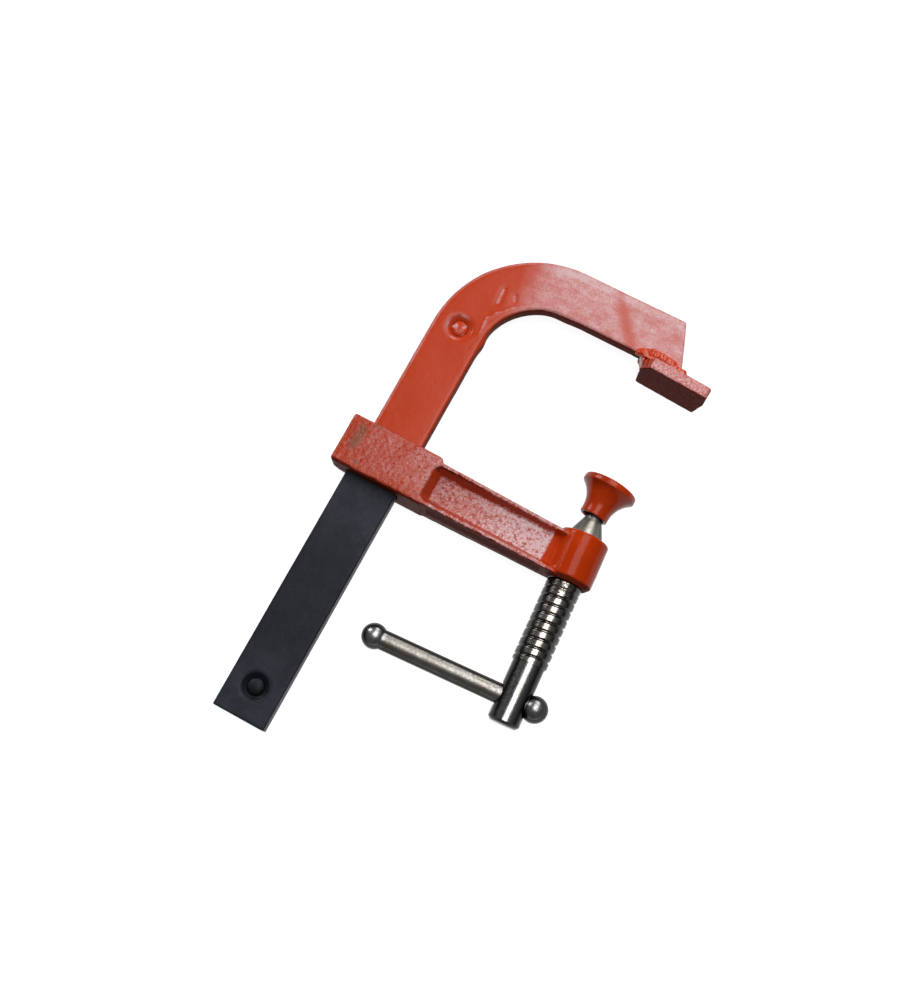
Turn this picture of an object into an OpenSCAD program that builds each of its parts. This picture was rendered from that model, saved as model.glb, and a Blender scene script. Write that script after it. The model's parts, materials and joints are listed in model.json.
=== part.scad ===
// Steel bar clamp: a flat bar with a bent fixed arm, and an arm that slides along
// the bar and carries the clamping screw with its swivel pad and sliding handle.
// X runs out along the arms, Y up the bar to the fixed jaw, Z through the thickness.
// The origin is the middle of the fixed jaw's clamping face.

/* [Bar] */
// Width of the flat bar and of the fixed arm's stem
bar_w = 25; // [20:0.5:30]
// Thickness of the flat bar and of the fixed arm
bar_t = 8; // [6:0.5:10]
// Length of the dark bar, from its free end to the weld with the fixed arm
bar_len = 129; // [110:1:300]
// Bevel along the edges of the bar and of the fixed arm
bar_edge = 0.5; // [0.2:0.1:1]

/* [Fixed arm] */
// Depth of the throat, from the bar's inner edge to the middle of the fixed jaw
throat = 85; // [80:1:110]
// Inside radius of the bend
bend_in_r = 28; // [20:0.5:35]
// Outside radius of the bend
bend_out_r = 52.5; // [45:0.5:60]
// Length of the straight stem between the weld and the bend
stem_len = 69; // [62:0.5:90]
// Height of the arm beyond the bend, which is drawn a little thinner than the stem
fixed_arm_h = 23.6; // [22:0.1:26]
// Height of the arm's underside over the anvil plate's near corner
foot_gap = 1.5545; // [0.3:0.0005:2]
// How far the arm's upper corner stops short of the jaw's middle
nose_back = 7.2; // [4:0.1:10]
// Slant of the arm's cut end, in degrees
nose_slant = 20.4; // [10:0.2:30]

/* [Fixed jaw] */
// Width of the anvil plate along the arm
anvil_w = 32.6; // [28:0.2:40]
// Depth of the anvil plate through the clamp's thickness
anvil_d = 25.6; // [22:0.2:32]
// Thickness of the anvil plate
anvil_t = 5.5; // [4:0.1:7]
// Cut-off front corner of the plate near the bar: its length along the arm
anvil_near_w = 4.4; // [2:0.2:6]
// The same corner's length through the thickness
anvil_near_d = 8; // [4:0.5:10]
// Cut-off back corner of the plate's far end: its length along the arm
anvil_far_w = 2.6; // [1:0.2:5]
// The same corner's length through the thickness
anvil_far_d = 14; // [6:0.5:16]
// Small cuts at the plate's other two corners
anvil_corner = 1; // [0.4:0.1:2]
// Inward lean of the jaw's face, which the load straightens, in degrees
toe_in = 3; // [0:0.1:4]
// Size of the weld bead round the arm's end
weld_leg = 3; // [2:0.1:3.5]

/* [Stop pins] */
// Diameter of the two stop pins
pin_d = 7.5; // [5:0.1:9]
// Diameter of the pocket round each pin's domed end
pin_pocket_d = 11.5; // [10:0.1:14]
// Depth of that pocket
pin_pocket_deep = 1.6; // [1:0.1:2.5]
// Height of the pin's dome inside its pocket
pin_dome = 1.1; // [0.5:0.1:1.4]
// How far each pin stands proud at the back, where it stops the collar
pin_proud = 2; // [1:0.1:3]
// Distance of the lower pin from the bar's free end
pin_low = 15; // [10:0.5:25]
// Distance of the upper pin past the start of the bend
pin_high = 1.8; // [0:0.1:5]

/* [Sliding arm] */
// Height of the collar along the bar
collar_h = 23.5; // [20:0.5:30]
// Thickness of the collar through the clamp
collar_t = 25; // [22:0.5:32]
// Wall of the collar outside the bar
collar_wall_out = 7.3; // [5:0.1:10]
// Wall of the collar between the bar and the arm
collar_wall_in = 12.4; // [10:0.1:14]
// Gap between the bar and the collar on each side
slide_gap = 0.3; // [0.2:0.05:0.6]
// Radius of the collar's corners
collar_r = 1.3; // [1:0.1:3]
// Radius of the collar's upper corner over the arm
collar_top_r = 2.8; // [1:0.1:4]
// Bevel round the collar's front and back faces
collar_edge = 1; // [0.3:0.1:2]
// Step from the collar's top down to the arm's top edge
arm_step = 2.2; // [1:0.1:3]
// Step from the collar's bottom up to the arm's bottom edge
arm_lift = 0.6; // [0:0.1:1.5]
// Height of the arm where it meets the boss
arm_tip_h = 19.5; // [16:0.1:21]
// Height of the arm's bottom edge over the collar's bottom where it meets the boss
arm_tip_lift = 1.1; // [0:0.1:2]
// Thickness of the arm where it meets the boss
arm_tip_t = 19; // [15:0.5:21]
// Thickness of the web between the two recesses
web_t = 12; // [8:0.5:14]
// Face width of the rims round the recesses
rim_w = 1.6; // [1:0.1:2.5]
// Distance that each recess starts before the collar's end
recess_back = 2.5; // [1:0.1:4]
// Run of the recess's sloping wall at the collar
recess_run = 4; // [2:0.1:6]
// Draft of the recess walls, in degrees
draft = 22; // [8:0.5:25]
// Radius in the corners of the recess floor
recess_r = 1; // [0.6:0.1:2]

/* [Boss] */
// Diameter of the threaded boss
boss_d = 22.6; // [21:0.2:28]
// Length of the boss along the screw
boss_h = 22.9; // [18:0.1:30]
// Bevel at the lower end of the boss
boss_bevel = 2.2; // [1:0.1:3]
// Bevel at the upper end of the boss
boss_top_bevel = 0.8; // [0.3:0.1:2]

/* [Screw] */
// Outer diameter of the screw's thread
screw_d = 16; // [14:0.5:18]
// Running clearance of the screw in the boss, on the radius
screw_fit = 0.06; // [0.02:0.01:0.1]
// Length of the threaded part under its cone
thread_len = 61.3; // [50:0.5:90]
// Lean of the screw towards the bar, which the load straightens, in degrees
screw_lean = 3.5; // [0:0.1:4.5]
// Diameter of the plain head
head_d = 14.4; // [13.4:0.1:15]
// Length of the plain head
head_len = 27.9; // [22:0.1:36]
// Bevel at the head's end
head_bevel = 1.3; // [0.5:0.1:2]
// Diameter of the spigot that enters the pad
neck_d = 8; // [7:0.1:9]
// Length of spigot that shows between the pad and the cone
neck_show = 1; // [0.6:0.1:3]
// Half angle of the cone between spigot and thread, in degrees
cone_angle = 24; // [18:0.5:35]
// Thread that shows between the cone and the boss, below zero where the cone goes in
thread_show = -0.2; // [-2:0.1:5]

/* [Sliding handle] */
// Diameter of the handle's rod
tommy_d = 9; // [7:0.1:9.6]
// Distance between the middles of the two balls
tommy_span = 75.7; // [60:0.5:80]
// Diameter of the balls
ball_d = 12; // [11.4:0.1:14]
// Diameter of the spigots that hold the balls
tommy_spigot_d = 6; // [4:0.1:6.5]
// How far each spigot reaches past the middle of its ball
tommy_spigot_past = 2; // [1:0.1:3]
// Distance of the cross hole from the head's end
hole_up = 11.4; // [10:0.1:14]
// Running clearance of the rod in the cross hole, on the radius
tommy_fit = 0.08; // [0.02:0.01:0.1]
// Depth of the countersinks at the cross hole's mouths
hole_sink = 1.2; // [0.4:0.1:1.6]

/* [Swivel pad] */
// Opening between the pad and the fixed jaw as the clamp stands
jaw_gap = 52.8; // [48:0.1:60]
// How far the pad's pivot lies to the bar's side of the jaw's middle
pad_inset = 3.6; // [0:0.1:6]
// Diameter of the pad's face
pad_d = 25.2; // [22:0.2:30]
// Height of the pad's face above its pivot
pad_face_h = 10.4; // [9.8:0.1:14]
// Depth of the pad's neck below its pivot
pad_neck_h = 6; // [5.4:0.1:7]
// Diameter of the pad's neck
pad_neck_d = 13; // [12.6:0.1:15]
// Height of the pad's rim
pad_rim_h = 2.9; // [2:0.1:4]
// Rounding at the edge of the pad's face
pad_edge = 0.9; // [0.3:0.1:1.4]
// Outer diameter of the snap ring that keeps the pad on
ring_d = 10.4; // [10:0.1:10.6]
// Thickness of the snap ring
ring_t = 1; // [0.8:0.1:1.2]
// Depth of the snap ring's groove in the spigot
ring_groove = 0.8; // [0.5:0.1:1.2]
// Distance of the snap ring's middle below the pivot
ring_down = 1.8; // [1.7:0.1:2]
// Tilt of the pad to either side, in degrees
pad_tilt = 10; // [6:0.5:10]
// Working clearance inside the pad
pad_fit = 0.08; // [0.05:0.01:0.15]

/* [Hidden] */
$fn = 64;

// Overrun of every cut past the surface that it opens
over = 1;
// Clearance of small trapped pieces
trap_gap = 0.1;
// Opening of the snap ring, in degrees
ring_mouth = 50;
// Steps in an arc of a turned outline
arc_steps = 10;
// Sides of the small rounds in a recess's corners
corner_sides = 32;
// Length of the pad's plain neck as a share of the pad's depth below its rim
neck_share = 0.16;
// Height of a pin's back bevel as a share of its dome
pin_bevel_share = 0.5;
// Reach of the weld past the plate's end as a share of the bead's size
weld_reach_share = 0.5;

dark = [0.13, 0.14, 0.17];
orange = [0.77, 0.26, 0.13];
steel = [0.62, 0.62, 0.63];
bright = [0.80, 0.79, 0.75];

// Upper corner of the anvil plate at its end near the bar
plate_corner = [-anvil_w / 2 * cos(toe_in) + anvil_t * sin(toe_in),
    anvil_t * cos(toe_in) + anvil_w / 2 * sin(toe_in)];
// Height of the arm's underside above the middle of the jaw's face
jaw_drop = plate_corner[1] + foot_gap;

// Places along the bar
fixed_top = jaw_drop + fixed_arm_h;
bend_y = fixed_top - bend_out_r;
weld_y = bend_y - stem_len;
bar_x = -throat - bar_w / 2;
bar_y = weld_y - bar_len;
pin_low_y = bar_y + pin_low;
pin_high_y = bend_y + pin_high;

// Where the slanted end of the fixed arm meets the anvil plate
nose_x = (tan(nose_slant) * (fixed_top - anvil_t / cos(toe_in)) - nose_back)
    / (1 - tan(nose_slant) * tan(toe_in));
nose_low = [nose_x, anvil_top(nose_x)];
nose_dir = [sin(nose_slant), -cos(nose_slant)];

// Places along the screw, which are counted down its axis from the pad's pivot
pivot = [-pad_inset, -jaw_gap - pad_face_h * cos(toe_in), 0];
cone_top = pad_neck_h + neck_show;
cone_len = (screw_d - neck_d) / 2 / tan(cone_angle);
boss_top = cone_top + cone_len + thread_show;
boss_low = boss_top + boss_h;
thread_end = cone_top + cone_len + thread_len;
head_end = thread_end + head_len;
hole_at = head_end - hole_up;
boss_x = pivot[0] + boss_low * sin(screw_lean);

// The sliding arm
arm_y = pivot[1] - boss_low * cos(screw_lean) - boss_d / 2 * sin(screw_lean);
collar_x0 = -throat - bar_w - slide_gap - collar_wall_out;
collar_x1 = -throat + slide_gap + collar_wall_in;
recess_x = collar_x1 - recess_back;
root_half = collar_t / 2;
tip_half = arm_tip_t / 2;
web_half = web_t / 2;
root_h = collar_h - arm_step - arm_lift;
root_low = arm_y + arm_lift;
tip_low = arm_y + arm_tip_lift;
tip_x = boss_x - boss_d / 2;
root_run = (root_half - web_half) * tan(draft);

// The sliding handle
ball_r = ball_d / 2;
hole_r = tommy_d / 2 + tommy_fit;
ball_flat = sqrt(pow(ball_r, 2) - pow(tommy_d / 2, 2));
ball_rest = head_d / 2 - hole_sink + sqrt(pow(ball_r, 2) - pow(hole_r, 2)) + trap_gap;

// The pad's inside, with room for the tilt
neck_r = neck_d / 2;
ring_low = ring_down + ring_t / 2;
cavity_low = ring_low * cos(pad_tilt) + ring_d / 2 * sin(pad_tilt) + trap_gap;
cavity_r = ring_d / 2 * cos(pad_tilt) + ring_low * sin(pad_tilt) + trap_gap;
lip_r = neck_r / cos(pad_tilt) + cavity_low * tan(pad_tilt) + pad_fit;
mouth_r = neck_r / cos(pad_tilt) + pad_neck_h * tan(pad_tilt) + pad_fit;

// Height of the anvil plate's upper face at a place along the arm
function anvil_top(x) = anvil_t / cos(toe_in) - x * tan(toe_in);

// Points of an arc round a middle, from one angle to another
function arc(mid, r, from, to, steps) =
    [for (i = [0:steps]) let (a = from + (to - from) * i / steps) mid + r * [cos(a), sin(a)]];

// Stands a piece on the screw's axis, with the axis along Z and the pad's pivot at zero
module on_screw() {
    translate(pivot)
        rotate([0, 0, screw_lean])
            rotate([-90, 0, 0])
                children();
}

// Stands a piece in the cross hole, with the rod along Z and the screw's axis at zero
module on_tommy() {
    on_screw()
        translate([0, 0, -hole_at])
            rotate([0, 90, 0])
                children();
}

// Section of the flat bar with its bevelled edges, from zero across its width
module bar_section() {
    half = bar_t / 2;
    polygon([[bar_edge, -half], [bar_w - bar_edge, -half], [bar_w, bar_edge - half],
        [bar_w, half - bar_edge], [bar_w - bar_edge, half], [bar_edge, half],
        [0, half - bar_edge], [0, bar_edge - half]]);
}

// A straight length of bar along Y, with its outer edge on zero
module bar_length(len) {
    rotate([90, 0, 0])
        translate([0, 0, -len])
            linear_extrude(len)
                bar_section();
}

// Hole and pocket for a stop pin, at the bar's front face
module pin_seat() {
    translate([0, 0, -bar_t / 2 - over])
        cylinder(h = bar_t + over * 2, d = pin_d);
    translate([0, 0, bar_t / 2 - pin_pocket_deep])
        cylinder(h = pin_pocket_deep + over, d = pin_pocket_d);
}

module stop_pin() {
    dome_r = (pow(pin_d / 2, 2) + pow(pin_dome, 2)) / (2 * pin_dome);
    shank_top = bar_t / 2 - pin_pocket_deep;
    back = -bar_t / 2 - pin_proud;
    bevel = pin_dome * pin_bevel_share;
    color(dark) {
        translate([0, 0, back])
            cylinder(h = bevel, d1 = pin_d - bevel * 2, d2 = pin_d);
        translate([0, 0, back + bevel])
            cylinder(h = shank_top - back - bevel, d = pin_d);
        intersection() {
            translate([0, 0, shank_top + pin_dome - dome_r])
                sphere(r = dome_r);
            translate([0, 0, shank_top])
                cylinder(h = pin_dome + over, d = pin_d);
        }
    }
}

module bar() {
    color(dark)
        difference() {
            translate([-throat - bar_w, bar_y, 0])
                bar_length(bar_len);
            translate([bar_x, pin_low_y, 0])
                pin_seat();
        }
}

module lower_stop_pin() {
    translate([bar_x, pin_low_y, 0])
        stop_pin();
}

module upper_stop_pin() {
    translate([bar_x, pin_high_y, 0])
        stop_pin();
}

// Sweeps a section round the bend, with the straights that join it on both sides: the
// section's zero runs at the radius r inside the outlines at x and y
module bend_sweep(x, y, r, stem, arm) {
    translate([x + r, y - r, 0]) {
        rotate([0, 0, 90])
            rotate_extrude(angle = 90)
                intersection() {
                    children();
                    translate([0, -bar_t])
                        square([r + bar_t, bar_t * 2]);
                }
        rotate([90, 0, 0])
            linear_extrude(stem)
                mirror([1, 0])
                    children();
        rotate([90, 0, 90])
            linear_extrude(arm)
                children();
    }
}

// All that the fixed arm's outer edge goes round, bevelled along that edge
module outside_form() {
    r = bend_out_r;
    half = bar_t / 2;
    bend_sweep(-throat - bar_w, fixed_top, r, stem_len, throat + bar_w - r + nose_x)
        polygon([[0, -half], [r - bar_edge, -half], [r, bar_edge - half],
            [r, half - bar_edge], [r - bar_edge, half], [0, half]]);
}

// All that lies inside the fixed arm, flared to bevel its inner edge
module inside_form() {
    r = bend_in_r;
    half = bar_t / 2;
    flare = r + bar_edge + over;
    bend_sweep(-throat, jaw_drop, r, stem_len + bend_out_r, throat)
        polygon([[-bend_out_r, -half - over], [flare, -half - over], [r, bar_edge - half],
            [r, half - bar_edge], [flare, half + over], [-bend_out_r, half + over]]);
}

// Stem, bend and straight arm, with the arm's end cut on a slant
module arm_strip() {
    difference() {
        outside_form();
        inside_form();
        linear_extrude(bar_t + over * 2, center = true)
            polygon([nose_low, nose_low - nose_dir * bar_w * 2, nose_low + [bar_w, 0]]);
    }
}

// Foot under the arm's end, which sits flat on the leaning anvil plate
module arm_foot() {
    grip = bar_edge * 2;
    up = grip + jaw_drop - nose_low[1];
    linear_extrude(bar_t - grip, center = true)
        polygon([plate_corner, nose_low, nose_low - nose_dir / cos(nose_slant) * up,
            [plate_corner[0], jaw_drop + grip]]);
}

module fixed_arm() {
    color(orange)
        difference() {
            union() {
                arm_strip();
                arm_foot();
            }
            translate([bar_x, pin_high_y, 0])
                pin_seat();
        }
}

module anvil_plate() {
    color(orange)
        rotate([0, 0, -toe_in])
            rotate([-90, 0, 0])
                linear_extrude(anvil_t)
                    plate_outline();
}

// Outline of the anvil plate, seen from its front edge down to its back edge
module plate_outline() {
    w = anvil_w / 2;
    d = anvil_d / 2;
    c = anvil_corner;
    polygon([[-w, anvil_near_d - d], [anvil_near_w - w, -d], [w - c, -d], [w, c - d],
        [w, d - anvil_far_d], [w - anvil_far_w, d], [c - w, d], [-w, d - c]]);
}

// A quarter-round bead of weld metal along Z, in the corner between two faces
module weld_bead(len) {
    linear_extrude(len, center = true)
        intersection() {
            circle(r = weld_leg);
            square(weld_leg);
        }
}

// Weld metal round the arm's foot, with a fillet up its slanted end and one under the arm
module anvil_weld() {
    left = -anvil_w / 2;
    right = nose_x * cos(toe_in) - nose_low[1] * sin(toe_in);
    start = left - weld_leg * weld_reach_share;
    side_len = right + weld_leg - start;
    down = [sin(toe_in), cos(toe_in)] * weld_leg;
    color(orange) {
        rotate([0, 0, -toe_in])
            translate([0, anvil_t, 0]) {
                for (side = [0, 1])
                    mirror([0, 0, side])
                        translate([start + side_len / 2, 0, -bar_t / 2])
                            rotate([0, 90, 0])
                                weld_bead(side_len);
                translate([right, 0, 0])
                    linear_extrude(bar_t + weld_leg, center = true)
                        polygon([[0, 0], [weld_leg, 0],
                            [-weld_leg * tan(nose_slant + toe_in), weld_leg]]);
            }
        linear_extrude(bar_t + weld_leg, center = true)
            polygon([plate_corner, [plate_corner[0], jaw_drop],
                [plate_corner[0] - weld_leg, jaw_drop], plate_corner - down]);
    }
}

// A rectangle whose corners are rounded
module round_rect(w, h, r) {
    translate([r, 0])
        square([w - r * 2, h]);
    translate([0, r])
        square([w, h - r * 2]);
    for (x = [r, w - r], y = [r, h - r])
        translate([x, y])
            circle(r = r);
}

// A rectangle whose corners are cut off
module bevel_rect(w, h, c) {
    polygon([[c, 0], [w - c, 0], [w, c], [w, h - c], [w - c, h], [c, h], [0, h - c], [0, c]]);
}

// Outline of the collar from the front, with a larger round over the arm
module collar_face(w) {
    difference() {
        round_rect(w, collar_h, collar_r);
        translate([w - collar_top_r, collar_h - collar_top_r])
            difference() {
                square(collar_top_r + over);
                circle(r = collar_top_r);
            }
    }
}

module collar() {
    w = collar_x1 - collar_x0;
    intersection() {
        translate([collar_x0, arm_y, 0])
            linear_extrude(collar_t, center = true)
                collar_face(w);
        translate([collar_x0, arm_y + collar_h + over, -root_half])
            rotate([90, 0, 0])
                linear_extrude(collar_h + over * 2)
                    bevel_rect(w, collar_t, collar_edge);
        translate([collar_x0 - over, arm_y, -root_half])
            rotate([90, 0, 90])
                linear_extrude(w + over * 2)
                    bevel_rect(collar_h, collar_t, collar_edge);
    }
}

// The tapered arm before its recesses: its outline from the front and from the side
module arm_wedge() {
    back = collar_wall_in / 2;
    x0 = collar_x1 - back;
    span = tip_x - collar_x1;
    rise = (tip_low - root_low) / span;
    fall = (root_low + root_h - tip_low - arm_tip_h) / span;
    thin = (root_half - tip_half) / span;
    end = boss_x - tip_x;
    intersection() {
        linear_extrude(collar_t, center = true)
            polygon([[x0, root_low - back * rise], [boss_x, tip_low + end * rise],
                [boss_x, tip_low + arm_tip_h - end * fall], [x0, root_low + root_h + back * fall]]);
        translate([0, arm_y - over, 0])
            rotate([90, 0, 0])
                translate([0, 0, -collar_h - over * 2])
                    linear_extrude(collar_h + over * 2)
                        polygon([[x0, -root_half], [collar_x1, -root_half],
                            [boss_x, -tip_half + end * thin], [boss_x, tip_half - end * thin],
                            [collar_x1, root_half], [x0, root_half]]);
    }
}

// One corner of a recess, widening towards its mouth
module recess_corner(x, y) {
    deep = root_half - web_half + over;
    translate([x, y, web_half])
        cylinder(h = deep, r1 = recess_r, r2 = recess_r + deep * tan(draft), $fn = corner_sides);
}

// One corner of a recess's mouth, at the top of the sloping wall by the collar
module recess_mouth(y) {
    r = recess_r + root_run;
    translate([recess_x + r, y, root_half])
        cylinder(h = over, r = r, $fn = corner_sides);
}

// The recess in the arm's front face, which ends against the boss
module recess() {
    x0 = recess_x + recess_run + recess_r;
    root_in = rim_w + root_run + recess_r;
    tip_in = rim_w + (tip_half - web_half) * tan(draft) + recess_r;
    hull() {
        for (y = [root_low + root_in, root_low + root_h - root_in]) {
            recess_corner(x0, y);
            recess_mouth(y);
        }
        recess_corner(boss_x, tip_low + tip_in);
        recess_corner(boss_x, tip_low + arm_tip_h - tip_in);
    }
}

module boss() {
    r = boss_d / 2;
    on_screw()
        translate([0, 0, -boss_low]) {
            cylinder(h = boss_bevel, r1 = r - boss_bevel, r2 = r);
            translate([0, 0, boss_bevel])
                cylinder(h = boss_h - boss_bevel - boss_top_bevel, r = r);
            translate([0, 0, boss_h - boss_top_bevel])
                cylinder(h = boss_top_bevel, r1 = r, r2 = r - boss_top_bevel);
        }
}

module sliding_arm() {
    slot_w = bar_w + slide_gap * 2;
    slot_t = bar_t + slide_gap * 2;
    color(orange)
        difference() {
            union() {
                difference() {
                    union() {
                        collar();
                        arm_wedge();
                    }
                    recess();
                    mirror([0, 0, 1])
                        recess();
                }
                boss();
            }
            translate([bar_x - slot_w / 2, arm_y - over, -slot_t / 2])
                cube([slot_w, collar_h + over * 2, slot_t]);
            on_screw()
                translate([0, 0, -boss_low - over])
                    cylinder(h = boss_h + over * 2, r = screw_d / 2 + screw_fit);
        }
}

// One countersunk mouth of the cross hole
module hole_mouth() {
    wide = hole_sink + over;
    translate([0, 0, head_d / 2 - hole_sink])
        cylinder(h = wide, r1 = hole_r, r2 = hole_r + wide);
}

module clamp_screw() {
    color(steel)
        difference() {
            on_screw() {
                sphere(d = neck_d);
                translate([0, 0, -cone_top])
                    cylinder(h = cone_top, d = neck_d);
                translate([0, 0, -cone_top - cone_len])
                    cylinder(h = cone_len, d1 = screw_d, d2 = neck_d);
                translate([0, 0, -thread_end])
                    cylinder(h = thread_len, d = screw_d);
                translate([0, 0, -head_end + head_bevel])
                    cylinder(h = head_len - head_bevel, d = head_d);
                translate([0, 0, -head_end])
                    cylinder(h = head_bevel, d1 = head_d - head_bevel * 2, d2 = head_d);
            }
            on_screw()
                translate([0, 0, -ring_low - trap_gap / 2])
                    difference() {
                        cylinder(h = ring_t + trap_gap, d = neck_d + over);
                        cylinder(h = ring_t + trap_gap, r = neck_r - ring_groove);
                    }
            on_tommy() {
                translate([0, 0, -head_d])
                    cylinder(h = head_d * 2, r = hole_r);
                hole_mouth();
                mirror([0, 0, 1])
                    hole_mouth();
            }
        }
}

// Middle of the rod, which rests with its right ball in the cross hole's mouth
tommy_mid = ball_rest - tommy_span / 2;

module tommy_bar() {
    rod = tommy_span - ball_flat * 2;
    whole = tommy_span + tommy_spigot_past * 2;
    color(bright)
        on_tommy()
            translate([0, 0, tommy_mid]) {
                cylinder(h = rod, d = tommy_d, center = true);
                cylinder(h = whole, d = tommy_spigot_d, center = true);
            }
}

// A ball at the far end of Z, bored for the rod's spigot and flat where the rod's shoulder meets it
module tommy_ball() {
    color(bright)
        on_tommy()
            translate([0, 0, tommy_mid])
                difference() {
                    translate([0, 0, tommy_span / 2])
                        sphere(d = ball_d);
                    translate([0, 0, tommy_span / 2 - ball_flat - ball_d])
                        cylinder(h = ball_d, d = ball_d);
                    translate([0, 0, tommy_span / 2 - ball_d])
                        cylinder(h = ball_d + tommy_spigot_past + trap_gap, d = tommy_spigot_d);
                }
}

// The left ball is the right one turned round the middle of the rod
module tommy_ball_left() {
    on_tommy()
        translate([0, 0, tommy_mid])
            mirror([0, 0, 1])
                translate([0, 0, -tommy_mid])
                    from_tommy()
                        tommy_ball();
}

module tommy_ball_right() {
    tommy_ball();
}

// Undoes the placing of a piece in the cross hole
module from_tommy() {
    rotate([0, -90, 0])
        translate([0, 0, hole_at])
            rotate([90, 0, 0])
                rotate([0, 0, -screw_lean])
                    translate(-pivot)
                        children();
}

module swivel_pad() {
    r = pad_d / 2;
    top = pad_face_h;
    rim_low = top - pad_rim_h;
    neck_half = pad_neck_d / 2;
    flare_low = -pad_neck_h + (rim_low + pad_neck_h) * neck_share;
    flare_w = r - neck_half;
    flare_h = rim_low - flare_low;
    flare_r = (pow(flare_w, 2) + pow(flare_h, 2)) / (2 * flare_w);
    flare_turn = asin(flare_h / flare_r);
    color(orange)
        translate(pivot)
            rotate([0, 0, -toe_in])
                rotate([-90, 0, 0])
                    difference() {
                        rotate_extrude()
                            polygon(concat(
                                [[0, -pad_neck_h]],
                                [[neck_half, -pad_neck_h]],
                                arc([neck_half + flare_r, flare_low], flare_r, 180,
                                    180 - flare_turn, arc_steps),
                                arc([r - pad_edge, top - pad_edge], pad_edge, 0, 90, arc_steps),
                                [[0, top]]));
                        sphere(r = neck_r + pad_fit);
                        translate([0, 0, -cavity_low])
                            cylinder(h = cavity_low - trap_gap, r = cavity_r);
                        translate([0, 0, -trap_gap - over / 2])
                            cylinder(h = trap_gap + over / 2, r = neck_r + pad_fit);
                        translate([0, 0, -pad_neck_h])
                            cylinder(h = pad_neck_h - cavity_low, r1 = mouth_r, r2 = lip_r);
                    }
}

module pad_snap_ring() {
    color(steel)
        on_screw()
            translate([0, 0, -ring_low])
                difference() {
                    cylinder(h = ring_t, d = ring_d);
                    translate([0, 0, -over])
                        cylinder(h = ring_t + over * 2, r = neck_r - ring_groove + trap_gap / 2);
                    translate([0, 0, -over])
                        linear_extrude(ring_t + over * 2)
                            polygon([[0, 0], [ring_d, -ring_d * tan(ring_mouth / 2)],
                                [ring_d, ring_d * tan(ring_mouth / 2)]]);
                }
}

bar();
fixed_arm();
anvil_plate();
anvil_weld();
lower_stop_pin();
upper_stop_pin();
sliding_arm();
clamp_screw();
tommy_bar();
tommy_ball_left();
tommy_ball_right();
swivel_pad();
pad_snap_ring();
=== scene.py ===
"""Bar clamp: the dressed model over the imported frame, with its stage and camera."""

import json
import math

import bmesh
import bpy
from bpy.props import FloatProperty, FloatVectorProperty, IntProperty, PointerProperty
from mathutils import Matrix, Vector, noise


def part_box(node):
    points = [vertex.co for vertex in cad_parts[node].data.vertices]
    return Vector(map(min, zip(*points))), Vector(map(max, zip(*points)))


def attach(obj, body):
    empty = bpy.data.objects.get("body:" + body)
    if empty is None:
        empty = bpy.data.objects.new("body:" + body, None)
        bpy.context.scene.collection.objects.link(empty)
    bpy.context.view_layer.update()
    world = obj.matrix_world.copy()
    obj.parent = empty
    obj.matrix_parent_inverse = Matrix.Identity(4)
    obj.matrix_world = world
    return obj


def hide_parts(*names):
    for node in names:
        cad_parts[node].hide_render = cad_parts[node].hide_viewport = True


bl_info = {
    "name": "Bar clamp",
    "version": (1, 0, 0),
    "blender": (4, 5, 0),
    "location": "View3D > Sidebar > Clamp",
    "description": "Builds the bar clamp's dressed pieces over its frame",
    "category": "Add Mesh",
}

MM = 0.001
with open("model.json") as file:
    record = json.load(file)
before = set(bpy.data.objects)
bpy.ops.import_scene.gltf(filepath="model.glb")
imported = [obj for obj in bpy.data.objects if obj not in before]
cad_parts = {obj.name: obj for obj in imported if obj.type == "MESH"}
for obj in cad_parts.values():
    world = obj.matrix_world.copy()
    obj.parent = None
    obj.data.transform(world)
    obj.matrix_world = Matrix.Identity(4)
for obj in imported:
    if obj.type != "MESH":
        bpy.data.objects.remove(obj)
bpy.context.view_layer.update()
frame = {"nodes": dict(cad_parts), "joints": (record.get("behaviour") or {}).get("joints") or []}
NODES = frame["nodes"]
JOINTS = {joint["name"]: joint for joint in frame["joints"]}
FEED_AT = Vector(JOINTS["screw_feed"]["pos_m"])
FEED_AXIS = Vector(JOINTS["screw_feed"]["axis"]).normalized()
GRIP_AT = Vector(JOINTS["handle_slide"]["pos_m"])
GRIP_AXIS = Vector(JOINTS["handle_slide"]["axis"]).normalized()
UP = Vector((0.0, 0.0, 1.0))


# Settings

class ClampSizes(bpy.types.PropertyGroup):
    """Sizes of the dressed surfaces."""

    voxel: FloatProperty(
        name="Voxel",
        description="Size of the faces on the bar and the two arms",
        default=0.45 * MM,
        unit="LENGTH",
    )
    fine_voxel: FloatProperty(
        name="Fine voxel",
        description="Size of the faces on the anvil plate and the pad",
        default=0.3 * MM,
        unit="LENGTH",
    )
    weld_voxel: FloatProperty(
        name="Weld voxel", description="Size of the faces on the weld", default=0.25 * MM, unit="LENGTH"
    )
    pitch: FloatProperty(
        name="Thread pitch", description="Rise of the thread in one turn", default=4 * MM, unit="LENGTH"
    )
    crest: FloatProperty(
        name="Thread crest", description="Radius over the thread", default=7.98 * MM, unit="LENGTH"
    )
    depth: FloatProperty(
        name="Thread depth", description="Depth of the thread", default=0.6 * MM, unit="LENGTH"
    )
    turn_steps: IntProperty(
        name="Thread steps", description="Steps in one turn of the thread", default=48, min=12
    )
    around: IntProperty(
        name="Steps round", description="Steps round each turned piece", default=72, min=16
    )


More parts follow.
